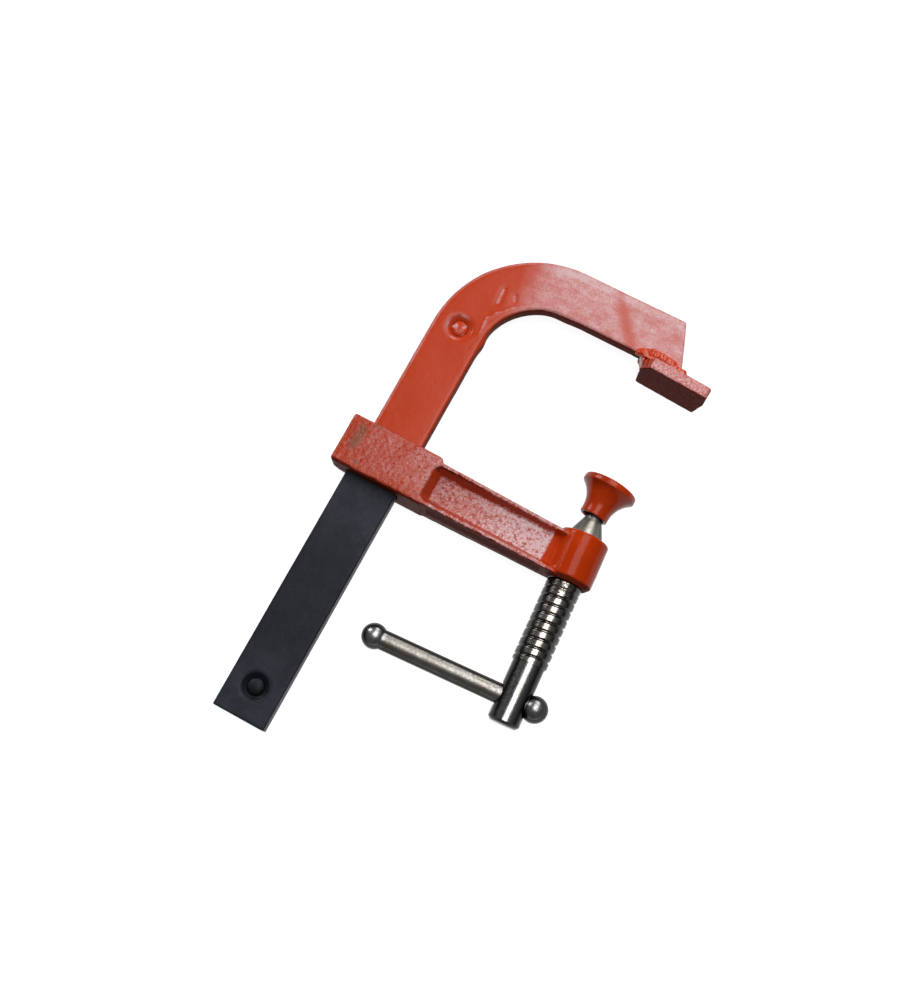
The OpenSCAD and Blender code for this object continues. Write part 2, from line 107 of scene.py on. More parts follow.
class ClampColours(bpy.types.PropertyGroup):
    """Colours of the finishes."""

    enamel: FloatVectorProperty(
        name="Enamel",
        description="Orange enamel",
        default=(0.475, 0.047, 0.013),
        subtype="COLOR",
        size=3,
    )
    deep_enamel: FloatVectorProperty(
        name="Deep enamel",
        description="Enamel where it lies thick",
        default=(0.45, 0.040, 0.009),
        subtype="COLOR",
        size=3,
    )
    bar: FloatVectorProperty(
        name="Bar",
        description="Black finish of the bar",
        default=(0.022, 0.025, 0.035),
        subtype="COLOR",
        size=3,
    )
    steel: FloatVectorProperty(
        name="Steel",
        description="Steel of the screw",
        default=(0.36, 0.345, 0.33),
        subtype="COLOR",
        size=3,
    )
    zinc: FloatVectorProperty(
        name="Zinc",
        description="Zinc on the handle",
        default=(0.29, 0.277, 0.262),
        subtype="COLOR",
        size=3,
    )


class ClampStage(bpy.types.PropertyGroup):
    """Sizes of the stage."""

    floor_at: FloatProperty(
        name="Floor", description="Height of the floor", default=-13 * MM, unit="LENGTH"
    )
    lamp: FloatProperty(
        name="Soft lamp", description="Radiance of the big soft lamp", default=4.9, min=0.0
    )
    side_lamp: FloatProperty(
        name="Side lamp", description="Radiance of the side lamp", default=8.5, min=0.0
    )
    back_lamp: FloatProperty(
        name="Back lamp", description="Radiance of the lamp behind the arm", default=5.0, min=0.0
    )
    world: FloatProperty(
        name="World", description="Strength of the world", default=0.12, min=0.0
    )


# Shapes

def from_node(name):
    """A bmesh with the form of a frame node, its doubled corners merged."""
    bm = bmesh.new()
    bm.from_mesh(NODES[name].data)
    bmesh.ops.remove_doubles(bm, verts=bm.verts, dist=0.001 * MM)
    bmesh.ops.recalc_face_normals(bm, faces=bm.faces)
    return bm


def axis_matrix(origin, axis):
    """A matrix that lays Z on an axis through the origin given."""
    turn = UP.rotation_difference(axis).to_matrix().to_4x4()
    return Matrix.Translation(origin) @ turn


def evened(bm, voxel, passes):
    """The same closed form in small even faces, with its edges worn round."""
    mesh = bpy.data.meshes.new("even_source")
    bm.to_mesh(mesh)
    bm.free()
    source = bpy.data.objects.new("even_source", mesh)
    bpy.context.scene.collection.objects.link(source)
    modifier = source.modifiers.new("even", "REMESH")
    modifier.mode = "VOXEL"
    modifier.voxel_size = voxel
    shown = source.evaluated_get(bpy.context.evaluated_depsgraph_get())
    result = bmesh.new()
    result.from_mesh(shown.to_mesh())
    shown.to_mesh_clear()
    bpy.data.objects.remove(source)
    bpy.data.meshes.remove(mesh)
    if not result.faces:
        raise RuntimeError("the remesh left nothing")
    smoothed(result, result.verts, passes)
    return result


def smoothed(bm, verts, passes):
    """Smooths the corners given, so many times over."""
    for _ in range(passes):
        bmesh.ops.smooth_vert(
            bm, verts=verts, factor=0.5, use_axis_x=True, use_axis_y=True, use_axis_z=True
        )
    bm.normal_update()


def softened(bm, inside, passes):
    """Smooths only the corners for which inside(place in mm) holds."""
    smoothed(bm, [vert for vert in bm.verts if inside(vert.co / MM)], passes)


def displaced(bm, amount):
    """Moves each corner along its normal by amount(place in mm, normal), in mm."""
    moves = [vert.normal * (amount(vert.co / MM, vert.normal) * MM) for vert in bm.verts]
    for vert, move in zip(bm.verts, moves):
        vert.co += move
    bm.normal_update()


def painted(bm, name, value):
    """Writes value(place in mm, normal) on each corner, for the materials to read."""
    layer = bm.verts.layers.float.new(name)
    for vert in bm.verts:
        vert[layer] = value(vert.co / MM, vert.normal)


def ramp(value, start, end):
    """0 at the start, 1 at the end, smooth between them."""
    share = min(max((value - start) / (end - start), 0.0), 1.0)
    return share * share * (3.0 - 2.0 * share)


def wave(place, size, seed=0.0):
    """Smooth noise from -1 to 1 with lumps of a size in mm."""
    return noise.noise(Vector((place.x + seed, place.y, place.z)) / size)


def near_line(place, start, end, reach):
    """1 on the line from start to end in the XY plane, 0 at the reach from it."""
    first = Vector(start)
    way = Vector(end) - first
    here = Vector((place.x, place.y))
    share = min(max((here - first).dot(way) / way.length_squared, 0.0), 1.0)
    return 1.0 - ramp((here - (first + way * share)).length, 0.0, reach)


def turned(profile, matrix, steps):
    """A closed turned form from a profile of (radius, height) that ends on the axis."""
    bm = bmesh.new()
    verts = [bm.verts.new((radius, 0.0, height)) for radius, height in profile]
    edges = [bm.edges.new(pair) for pair in zip(verts, verts[1:])]
    bmesh.ops.spin(
        bm,
        geom=verts + edges,
        cent=(0, 0, 0),
        axis=(0, 0, 1),
        angle=math.tau,
        steps=steps,
        use_merge=True,
    )
    bmesh.ops.remove_doubles(bm, verts=bm.verts, dist=0.002 * MM)
    bmesh.ops.recalc_face_normals(bm, faces=bm.faces)
    bmesh.ops.transform(bm, matrix=matrix, verts=bm.verts)
    return bm


def arc(radius, start, end, count):
    """Points of (radius, height) on an arc round the origin, between two angles."""
    points = []
    for step in range(count + 1):
        angle = math.radians(start + (end - start) * step / count)
        points.append((radius * math.cos(angle), radius * math.sin(angle)))
    return points


def cut(bm, place, direction):
    """Cuts away what lies past a plane, and closes the cut."""
    bmesh.ops.bisect_plane(
        bm,
        geom=bm.verts[:] + bm.edges[:] + bm.faces[:],
        dist=0.0005 * MM,
        plane_co=place,
        plane_no=direction,
        clear_outer=True,
    )
    rim = [edge for edge in bm.edges if edge.is_boundary]
    bmesh.ops.holes_fill(bm, edges=rim, sides=0)
    bmesh.ops.recalc_face_normals(bm, faces=bm.faces)


def joined(bm, other):
    """Adds another bmesh to the first."""
    mesh = bpy.data.meshes.new("joined_source")
    other.to_mesh(mesh)
    other.free()
    bm.from_mesh(mesh)
    bpy.data.meshes.remove(mesh)


def on_edge(face):
    """Whether a face stands on edge when the clamp lies on its side."""
    return abs(face.normal.z) < 0.45


def sides_apart(bm):
    """Gives the faces that stand on edge the second material, a darker copy that paints shade on them.
    """
    for face in bm.faces:
        face.material_index = 1 if on_edge(face) else 0


def piece(name, bm, body, materials, replaces, sharp=None):
    """Makes a shown piece of a bmesh, on a body, in place of its frame nodes."""
    mesh = bpy.data.meshes.new(name)
    bm.to_mesh(mesh)
    bm.free()
    mesh.polygons.foreach_set("use_smooth", [True] * len(mesh.polygons))
    if sharp is not None:
        mesh.set_sharp_from_angle(angle=math.radians(sharp))
    for material in materials:
        mesh.materials.append(material)
    made = bpy.data.objects.new(name, mesh)
    bpy.context.scene.collection.objects.link(made)
    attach(made, body)
    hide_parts(*replaces)
    return made


# Material parts

# Painted sheen and painted sparkle: pale reflections laid into the enamel's colour
PAINTED_SHEEN_COLOUR = (0.60, 0.38, 0.39)
PAINTED_SPARKLE_COLOUR = (0.86, 0.62, 0.60)
DIRT_COLOUR = (0.14, 0.065, 0.035)
DUST_COLOUR = (0.34, 0.25, 0.15)
MARK_COLOUR = (0.060, 0.040, 0.026)
# Colour of the painted shade in a thread's grooves and next to the boss
THREAD_SHADE_COLOUR = (0.030, 0.022, 0.017)
STAIN_TINT = (1.06, 1.0, 0.88)


def add(tree, kind, inputs=None, **settings):
    """Adds a node, with its settings, and values or links for its inputs."""
    node = tree.nodes.new(kind)
    for key, value in settings.items():
        setattr(node, key, value)
    for key, value in (inputs or {}).items():
        if isinstance(value, bpy.types.NodeSocket):
            tree.links.new(value, node.inputs[key])
        else:
            node.inputs[key].default_value = value
    return node


def mixed(tree, share, first, second):
    """Mixes two colours."""
    return add(tree, "ShaderNodeMix", {0: share, 6: first, 7: second}, data_type="RGBA").outputs[2]


def ranged(tree, value, low, high, to_low=0.0, to_high=1.0):
    """Maps a value from one range to another, clamped."""
    inputs = {"Value": value, "From Min": low, "From Max": high, "To Min": to_low, "To Max": to_high}
    return add(tree, "ShaderNodeMapRange", inputs, clamp=True).outputs[0]


def calculated(tree, operation, first, second, third=0.0):
    """One step of arithmetic; only a multiply-add reads the third value."""
    inputs = {0: first, 1: second, 2: third}
    return add(tree, "ShaderNodeMath", inputs, operation=operation).outputs[0]


def noise_of(tree, vector, scale, detail=3.0, rough=0.55):
    """A noise texture's value; its scale is in lumps to the metre."""
    inputs = {"Vector": vector, "Scale": scale, "Detail": detail, "Roughness": rough}
    return add(tree, "ShaderNodeTexNoise", inputs).outputs[0]


def rgba(colour, share=1.0):
    """A colour with alpha, dimmed by a share."""
    return (colour[0] * share, colour[1] * share, colour[2] * share, 1.0)


def paint_group():
    """Paint over rough metal: broad change, pits, specks, and the height of its grain."""
    found = bpy.data.node_groups.get("rough_paint")
    if found:
        return found
    tree = bpy.data.node_groups.new("rough_paint", "ShaderNodeTree")
    tree.interface.new_socket("Vector", in_out="INPUT", socket_type="NodeSocketVector")
    tree.interface.new_socket("Grain", in_out="INPUT", socket_type="NodeSocketFloat")
    for name in ("Broad", "Specks", "Pits", "Height"):
        tree.interface.new_socket(name, in_out="OUTPUT", socket_type="NodeSocketFloat")
    source = add(tree, "NodeGroupInput").outputs
    broad = noise_of(tree, source["Vector"], 60.0, 3.0)
    coarse = noise_of(tree, source["Vector"], source["Grain"], 3.0, 0.6)
    fine_scale = calculated(tree, "MULTIPLY", source["Grain"], 2.0)
    fine = noise_of(tree, source["Vector"], fine_scale, 2.0, 0.6)
    outputs = {
        "Broad": ranged(tree, broad, 0.35, 0.65),
        "Specks": ranged(tree, fine, 0.60, 0.70),
        "Pits": ranged(tree, coarse, 0.40, 0.30),
        "Height": calculated(tree, "MULTIPLY_ADD", fine, 0.35, coarse),
    }
    add(tree, "NodeGroupOutput", outputs)
    return tree


def metal_group():
    """Handled metal: broad stains, small marks, fine drawn lines along Z of its vector."""
    found = bpy.data.node_groups.get("handled_metal")
    if found:
        return found
    tree = bpy.data.node_groups.new("handled_metal", "ShaderNodeTree")
    tree.interface.new_socket("Vector", in_out="INPUT", socket_type="NodeSocketVector")
    for name in ("Stains", "Marks", "Lines"):
        tree.interface.new_socket(name, in_out="OUTPUT", socket_type="NodeSocketFloat")
    source = add(tree, "NodeGroupInput").outputs
    stains = noise_of(tree, source["Vector"], 150.0, 4.0, 0.6)
    marks = noise_of(tree, source["Vector"], 900.0, 3.0, 0.6)
    stretched = add(tree, "ShaderNodeMapping", {"Vector": source["Vector"], "Scale": (1.0, 1.0, 0.05)})
    outputs = {
        "Stains": ranged(tree, stains, 0.35, 0.65),
        "Marks": ranged(tree, marks, 0.35, 0.65),
        "Lines": noise_of(tree, stretched.outputs[0], 2600.0, 2.0, 0.5),
    }
    add(tree, "NodeGroupOutput", outputs)
    return tree


def new_material(name):
    """An empty material with its shader and output joined."""
    material = bpy.data.materials.new(name)
    material.use_nodes = True
    tree = material.node_tree
    tree.nodes.clear()
    shader = add(tree, "ShaderNodeBsdfPrincipled")
    add(tree, "ShaderNodeOutputMaterial", {"Surface": shader.outputs[0]})
    return material, tree, shader


def attribute(tree, name):
    """A value that a piece carries on its corners."""
    return add(tree, "ShaderNodeAttribute", attribute_name=name).outputs["Fac"]


def linked(tree, shader, colour, rough, normal):
    """Links a colour, a roughness and a normal to a shader."""
    tree.links.new(colour, shader.inputs["Base Color"])
    tree.links.new(rough, shader.inputs["Roughness"])
    tree.links.new(normal, shader.inputs["Normal"])


def bumped(tree, height, strength, reach):
    """The normal of a surface that a height lifts by a reach in mm."""
    inputs = {"Height": height, "Strength": strength, "Distance": reach * MM}
    return add(tree, "ShaderNodeBump", inputs).outputs[0]


def add_painted_sheen(tree, look, paint, colour):
    """Lays a painted sheen, and its painted bright specks, over a colour."""
    painted_sheen = calculated(tree, "MULTIPLY", attribute(tree, "painted_sheen"), look["painted_sheen"])
    spread = look["glint"]
    glint = ranged(tree, paint["Height"], 0.50, 0.84, 1.0 - spread, 1.0 + spread)
    fleck = calculated(tree, "MULTIPLY", paint["Specks"], spread * 1.1)
    painted_sheen = calculated(tree, "MULTIPLY", painted_sheen, calculated(tree, "ADD", glint, fleck))
    colour = mixed(tree, painted_sheen, colour, rgba(PAINTED_SHEEN_COLOUR))
    shine = ranged(tree, attribute(tree, "painted_sheen"), 0.0, 0.5, 0.12, 1.6)
    painted_sparkle = calculated(tree, "MULTIPLY", shine, fleck)
    painted_sparkle = ranged(tree, painted_sparkle, 0.0, 1.6, 0.0, look["painted_sparkle"])
    return mixed(tree, painted_sparkle, colour, rgba(PAINTED_SPARKLE_COLOUR))


def rubbed(tree, paint, colour, rough):
    """The colour and the roughness where the paint is rubbed down to dirty metal."""
    edge = calculated(tree, "MULTIPLY_ADD", paint["Height"], 0.9, attribute(tree, "wear"))
    worn = ranged(tree, edge, 0.74, 1.20, 0.0, 0.75)
    dirt = mixed(tree, paint["Specks"], rgba(DIRT_COLOUR), rgba(DUST_COLOUR))
    rough = add(tree, "ShaderNodeMix", {0: worn, 2: rough, 3: 0.55}).outputs[0]
    return mixed(tree, worn, colour, dirt), rough


def enamel(name, look):
    """Orange enamel; look holds its colours, grain and bump, and says which masks it reads."""
    material, tree, shader = new_material(name)
    place = add(tree, "ShaderNodeTexCoord").outputs["Object"]
    inputs = {"Vector": place, "Grain": look["grain"]}
    paint = add(tree, "ShaderNodeGroup", inputs, node_tree=paint_group()).outputs
    colour = mixed(tree, paint["Broad"], rgba(look["deep"]), rgba(look["bright"]))
    dimmed = calculated(tree, "MULTIPLY", paint["Pits"], look["pit_share"])
    colour = mixed(tree, dimmed, colour, rgba(look["deep"], 0.55))
    rough = ranged(tree, paint["Height"], 0.3, 0.9, look["rough"] - 0.07, look["rough"] + 0.1)
    # Painted sheen and painted sparkle where the piece's mask asks for them
    if "painted_sheen" in look:
        colour = add_painted_sheen(tree, look, paint, colour)
    if "wear" in look:
        colour, rough = rubbed(tree, paint, colour, rough)
    linked(tree, shader, colour, rough, bumped(tree, paint["Height"], look["bump"], 0.16))
    shader.inputs["Specular IOR Level"].default_value = look["specular"]
    return material


def bar_finish(name, colour):
    """Satin black on the bar, rubbed in fine lines along it, and darkened with painted shade where its
    mask says.
    """
    material, tree, shader = new_material(name)
    place = add(tree, "ShaderNodeTexCoord").outputs["Object"]
    lying = {"Vector": place, "Rotation": (math.pi / 2, 0.0, 0.0)}
    along = add(tree, "ShaderNodeMapping", lying).outputs[0]
    metal = add(tree, "ShaderNodeGroup", {"Vector": along}, node_tree=metal_group()).outputs
    base = mixed(tree, metal["Stains"], rgba(colour, 0.75), rgba(colour, 1.15))
    light = calculated(tree, "MULTIPLY", ranged(tree, metal["Lines"], 0.6, 0.75), 0.3)
    base = mixed(tree, light, base, rgba(colour, 2.2))
    # Painted shade where the mask says
    base = mixed(tree, attribute(tree, "dark"), base, rgba(colour, 0.25))
    rough = ranged(tree, metal["Marks"], 0.0, 1.0, 0.42, 0.56)
    height = calculated(tree, "ADD", metal["Marks"], metal["Lines"])
    linked(tree, shader, base, rough, bumped(tree, height, 0.18, 0.1))
    shader.inputs["Specular IOR Level"].default_value = 0.14
    return material


def steel_finish(name, colour, look):
    """Bare or plated steel with stains and marks, and with painted shade where it turns away from the
    view.
    """
    material, tree, shader = new_material(name)
    place = add(tree, "ShaderNodeTexCoord").outputs["Object"]
    metal = add(tree, "ShaderNodeGroup", {"Vector": place}, node_tree=metal_group()).outputs
    stained = [share * tint * look["stain"] for share, tint in zip(colour, STAIN_TINT)]
    base = mixed(tree, metal["Stains"], rgba(stained), rgba(colour))
    marks = calculated(tree, "MULTIPLY", ranged(tree, metal["Marks"], 0.55, 0.9), look["marks"])
    base = mixed(tree, marks, base, rgba(MARK_COLOUR))
    # Painted shade from the piece's mask
    if "thread_shade" in look:
        thread_shade = calculated(tree, "MULTIPLY_ADD", metal["Marks"], 0.5, attribute(tree, "thread_shade"))
        base = mixed(tree, ranged(tree, thread_shade, 0.55, 0.95), base, rgba(THREAD_SHADE_COLOUR))
    # Painted shade: darker where the surface turns away from the view
    facing = add(tree, "ShaderNodeLayerWeight", {"Blend": 0.5}).outputs["Facing"]
    away = ranged(tree, facing, look["away_low"], look["away_high"])
    base = mixed(tree, away, base, rgba(colour, look["away"]))
    rough = ranged(tree, metal["Marks"], 0.0, 1.0, look["rough"], look["rough"] + 0.12)
    linked(tree, shader, base, rough, bumped(tree, metal["Marks"], look["bump"], 0.08))
    shader.inputs["Metallic"].default_value = 1.0
    return material


# Surfaces and masks; places, sizes and heights are in mm

# Outer outline of the fixed arm: its left side, its top and the radius of its bend
OUTLINE_X = -110.0
OUTLINE_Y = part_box("fixed_arm")[1].y / MM
OUTLINE_R = 52.5
# How far from the screw's axis the bore's wall, the boss and its root reach
BORE_REACH = 8.7
BOSS_REACH = 11.5
ROOT_REACH = 11.7
# Dents and ridges on the fixed arm's face: start, end, reach, and depth or height of each
DENTS = (
    ((-88.2, 6.3), (-87.6, -0.6), 2.2, 0.45),
    ((-82.2, 5.6), (-81.2, 3.6), 2.4, 0.40),
    ((-75.5, 8.9), (-74.9, 5.9), 2.0, 0.40),
    ((-69.0, 11.6), (-66.5, 13.0), 2.0, 0.28),
)
RIDGES = (
    ((-87.9, -18.0), (-88.5, -9.6), 1.3, 0.22),
    ((-88.5, -9.6), (-85.6, -5.3), 1.3, 0.22),
    ((-85.6, -5.3), (-78.0, 2.4), 1.2, 0.16),
    ((-78.0, 2.4), (-66.0, 8.8), 1.2, 0.12),
)


def arm_surface(place, normal):
    """Hammered bar stock: waves, dents, ridges, and two swellings on the inside of the bend."""
    height = 0.13 * wave(place, 16.0) + 0.025 * wave(place, 3.4, 40.0) + 0.008 * wave(place, 1.2, 90.0)
    if normal.z > 0.5:
        for start, end, reach, deep in DENTS:
            height -= deep * near_line(place, start, end, reach)
        for start, end, reach, high in RIDGES:
            height += high * near_line(place, start, end, reach)
    if abs(normal.z) < 0.5 and -88.0 < place.x < -50.0 and place.y < 9.0:
        height += 0.8 * math.exp(-(((place.y + 21.0) / 4.0) ** 2)) * (place.x < -80.0)
        height += 0.5 * math.exp(-(((place.x + 58.0) / 5.0) ** 2)) * (place.y > 5.0)
    return height


def arm_painted_sheen(place, normal):
    """Where the fixed arm's face carries a painted sheen: a painted reflection on its right part, and
    painted highlights in its dents, on its ridges and along its outer edge.
    """
    if normal.z < 0.35:
        return 0.0
    swing = 2.0 * wave(place, 7.0, 15.0)
    right = ramp(place.x + 0.12 * place.y + swing, -84.0, -66.0)
    band = 0.72 + 0.28 * near_line(place, (-66.0, 27.5), (-40.0, 27.5), 9.0)
    patch = 1.0 - 0.75 * near_line(place, (-40.0, 29.0), (-25.0, 10.0), 5.0)
    streaks = wave(Vector((place.x, place.y * 3.0, place.z)), 6.0, 70.0)
    painted_sheen = right * band * patch * (0.92 + 0.26 * wave(place, 4.5, 33.0) + 0.42 * streaks)
    for start, end, reach, _ in DENTS:
        floor = 0.85 * near_line(place, start, end, 0.42 * reach)
        painted_sheen = max(painted_sheen, floor * (0.75 + 0.5 * wave(place, 2.0)))
    for start, end, reach, _ in RIDGES:
        crest = 0.55 * near_line(place, start, end, 0.6 * reach)
        painted_sheen = max(painted_sheen, crest * (0.5 + 1.6 * wave(place, 1.8, 8.0)))
    # Painted highlight along the outer edge, and more painted sheen just inside it on the right
    inset = edge_distance(place)
    strong = 0.62 if place.y > 12.0 else 0.42
    line = strong * (1.0 - ramp(abs(inset - 1.1), 0.25, 0.75)) * (0.75 + 0.6 * wave(place, 5.0, 12.0))
    glow = 0.35 * (1.0 - ramp(abs(inset - 3.0), 0.6, 2.4)) * ramp(place.x, -80.0, -66.0)
    return max(painted_sheen + glow, line)


def edge_distance(place):
    """How far a point of the fixed arm is from the arm's outer outline, in mm."""
    reach = OUTLINE_R
    middle_x = OUTLINE_X + reach
    middle_y = OUTLINE_Y - reach
    if place.x > middle_x:
        return OUTLINE_Y - place.y
    if place.y < middle_y:
        return place.x - OUTLINE_X
    return reach - math.hypot(place.x - middle_x, place.y - middle_y)


def off_axis(place):
    """Distance of a place in metres from the screw's axis, in metres."""
    arm = place - FEED_AT
    return (arm - FEED_AXIS * arm.dot(FEED_AXIS)).length


def from_pin(place, pin):
    """Distance of a place from a stop pin's axis."""
    return math.hypot(place.x - pin.x, place.y - pin.y)


def in_bore(place):
    """Whether a place is on the wall of the boss's threaded hole."""
    return off_axis(place * MM) < BORE_REACH * MM


def in_recess(place):
    """Whether a place is in the recess on either side of the cast arm."""
    return -72.5 < place.x < -11.0 and -99.6 < place.y < -82.8 and abs(place.z) < 11.0


def at_boss_root(place):
    """Whether a place is where the recess's walls run into the boss."""
    along = -17.5 < place.x < -8.0 and -99.2 < place.y < -83.4
    return along and abs(place.z) < 10.9 and not in_bore(place)


def corner_lift(place):
    """How far the collar's lower left corner is lifted on the far side."""
    return 1.6 * ramp(-place.x, 95.0, 117.0) * ramp(-place.z, -2.0, 12.0) * ramp(-place.y, 92.0, 101.0)


def cast_surface(place, normal):
    """Sand casting: grain, and a raised parting line along the arm's top and underside."""
    if in_bore(place):
        return -0.05
    flat = abs(normal.z) > 0.8 and place.x < -16.0
    grain = 0.13 if flat else 0.04
    if place.x > -15.0:
        grain = 0.01
    height = grain * wave(place, 0.95) + grain * wave(place, 2.1, 30.0) + 0.08 * wave(place, 11.0, 60.0)
    if abs(normal.y) > 0.6 and -70.0 < place.x < -14.0:
        height += (1.1 if normal.y < 0.0 else 0.6) * (1.0 - ramp(abs(place.z), 0.0, 9.0))
    return height


def cast_wear(place, normal):
    """Where the casting's paint is rubbed off."""
    if normal.z < 0.5:
        return 0.0
    patch = near_line(place, (-110.8, -84.5), (-111.6, -92.5), 4.6)
    spot = near_line(place, (-107.0, -98.6), (-106.0, -98.9), 1.6)
    top = near_line(place, (-107.0, -79.6), (-103.5, -80.2), 1.4)
    return max(patch * 0.55, spot * 0.5, top * 0.5)


def cast_painted_sheen(place, normal):
    """Where the casting's face carries a painted sheen: recess floor, rims and collar."""
    if normal.z < 0.6 or place.x > -12.0:
        return 0.0
    if place.z < 8.0:
        return (0.34 + 0.70 * ramp(place.x, -58.0, -20.0)) * (1.0 - ramp(place.x, -16.0, -14.8))
    if place.x > -70.0:
        return 0.42
    low = 1.0 - 0.7 * ramp(-place.y, 94.0, 100.5)
    patch = 0.16 * wave(place, 7.0, 44.0)
    return (0.10 + 0.19 * ramp(place.x, -92.0, -72.0) + patch) * low * ramp(place.x, -118.0, -106.0)


def plate_surface(place, normal):
    """Anvil plate: lumpy round its edge, with a finer grain on its two faces."""
    if abs(normal.y) < 0.7:
        return 0.10 * wave(place, 1.3) + 0.16 * wave(place, 3.6, 20.0)
    return 0.05 * wave(place, 1.6)


# Pieces

class CLAMP_OT_bar(bpy.types.Operator):
    """Builds the bar and its lower pin"""

    bl_idname = "clamp.bar"
    bl_label = "Bar and lower pin"

    def execute(self, context):
        sizes = context.scene.clamp_sizes
        colours = context.scene.clamp_colours
        black = bar_finish("bar_black", colours.bar)
        bm = evened(from_node("bar"), sizes.voxel, 2)
        low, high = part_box("lower_stop_pin")
        pin = (low + high) / 2 / MM
        softened(bm, lambda place: place.z > 0.0 and from_pin(place, pin) < 7.5, 18)
        displaced(bm, lambda place, normal: 0.05 * wave(place, 17.0) + 0.018 * wave(place, 2.4, 50.0))

        # Painted shade: a near-black ring round the pin's pocket, darker sides, and darker towards the
        # bar's middle
        def dark(place, normal):
            ring = 1.0 - ramp(abs(from_pin(place, pin) - 4.4), 0.8, 2.4)
            edge = ramp(abs(place.z), 2.6, 3.7) * (1.0 - abs(normal.z)) * 0.6
            middle = 0.62 * (1.0 - ramp(abs(place.y + 160.0), 15.0, 45.0))
            return max(ring if place.z > 0.0 else 0.0, edge, middle)

        painted(bm, "dark", dark)
        piece("bar_stock", bm, "rail", [black], ["bar"])
        bm = pin_form("lower_stop_pin", sizes.around, 0.1, 1.6)

        def shadow(place, normal):
            return 0.95 - 0.5 * ramp(place.y - place.x - pin.y + pin.x, -1.0, 4.0)

        painted(bm, "dark", shadow)
        piece("lower_pin", bm, "rail", [black], ["lower_stop_pin"])
        return {"FINISHED"}


def pin_form(node, steps, rise, dome):
    """A stop pin with a domed end, from the frame node's own size; rise and dome in mm."""
    low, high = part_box(node)
    radius = (high.x - low.x) / 2
    middle = Vector(((low.x + high.x) / 2, (low.y + high.y) / 2, 0.0))
    crown = high.z + rise * MM
    side = crown - dome * MM
    bevel = 0.5 * MM
    profile = [(0.0, low.z), (radius - bevel, low.z), (radius, low.z + bevel)]
    rings = 10
    for ring in range(rings + 1):
        angle = math.radians(90.0 * ring / rings)
        profile.append((radius * math.cos(angle), side + (crown - side) * math.sin(angle)))
    profile[-1] = (0.0, crown)
    return turned(profile, Matrix.Translation(middle), steps)


def dull_and_shaded(look):
    """The same enamel, duller, and darker as painted shade, for faces that stand on edge."""
    changed = dict(look)
    changed.update(bright=(0.25, 0.030, 0.011), deep=(0.17, 0.022, 0.009), rough=0.45, specular=0.02)
    changed.pop("painted_sheen", None)
    changed.pop("wear", None)
    return changed


class CLAMP_OT_fixed_arm(bpy.types.Operator):
    """Builds the fixed arm with its painted pin"""

    bl_idname = "clamp.fixed_arm"
    bl_label = "Fixed arm"

    def execute(self, context):
        sizes = context.scene.clamp_sizes
        colours = context.scene.clamp_colours
        look = {
            "bright": colours.enamel,
            "deep": colours.deep_enamel,
            "grain": 900.0,
            "pit_share": 0.2,
            "rough": 0.15,
            "bump": 0.35,
            "specular": 0.17,
            "painted_sheen": 0.80,
            "glint": 0.32,
            "painted_sparkle": 0.12,
        }
        paint = enamel("arm_enamel", look)
        side = enamel("arm_shaded_side_enamel", dull_and_shaded(look))
        bm = evened(from_node("fixed_arm"), sizes.voxel * 1.1, 6)
        low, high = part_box("upper_stop_pin")
        pin = (low + high) / 2 / MM
        softened(bm, lambda place: place.z > 0.0 and from_pin(place, pin) < 6.6, 9)
        softened(bm, lambda place: place.x < -22.0 and abs(place.z) > 1.5, 12)
        displaced(bm, arm_surface)

        # Painted sheen of the arm, with a painted highlight on the rim round the upper pin's pocket
        def sheen(place, normal):
            left = pin.x - place.x + 0.6 * abs(place.y - pin.y)
            rim = (1.0 - ramp(abs(from_pin(place, pin) - 5.9), 0.3, 0.8)) * ramp(left, -1.0, 3.5)
            return max(arm_painted_sheen(place, normal), 0.7 * rim * (0.6 + 0.8 * wave(place, 2.2, 3.0)))

        painted(bm, "painted_sheen", sheen)
        sides_apart(bm)
        piece("bent_arm", bm, "rail", [paint, side], ["fixed_arm"])
        bm = pin_form("upper_stop_pin", sizes.around, -0.55, 1.5)
        # Painted glints on the painted-over upper pin
        painted(bm, "painted_sheen", lambda place, normal: 0.8 * ramp(wave(place, 1.7, 6.0), 0.12, 0.4))
        piece("upper_pin", bm, "rail", [paint], ["upper_stop_pin"])
        return {"FINISHED"}


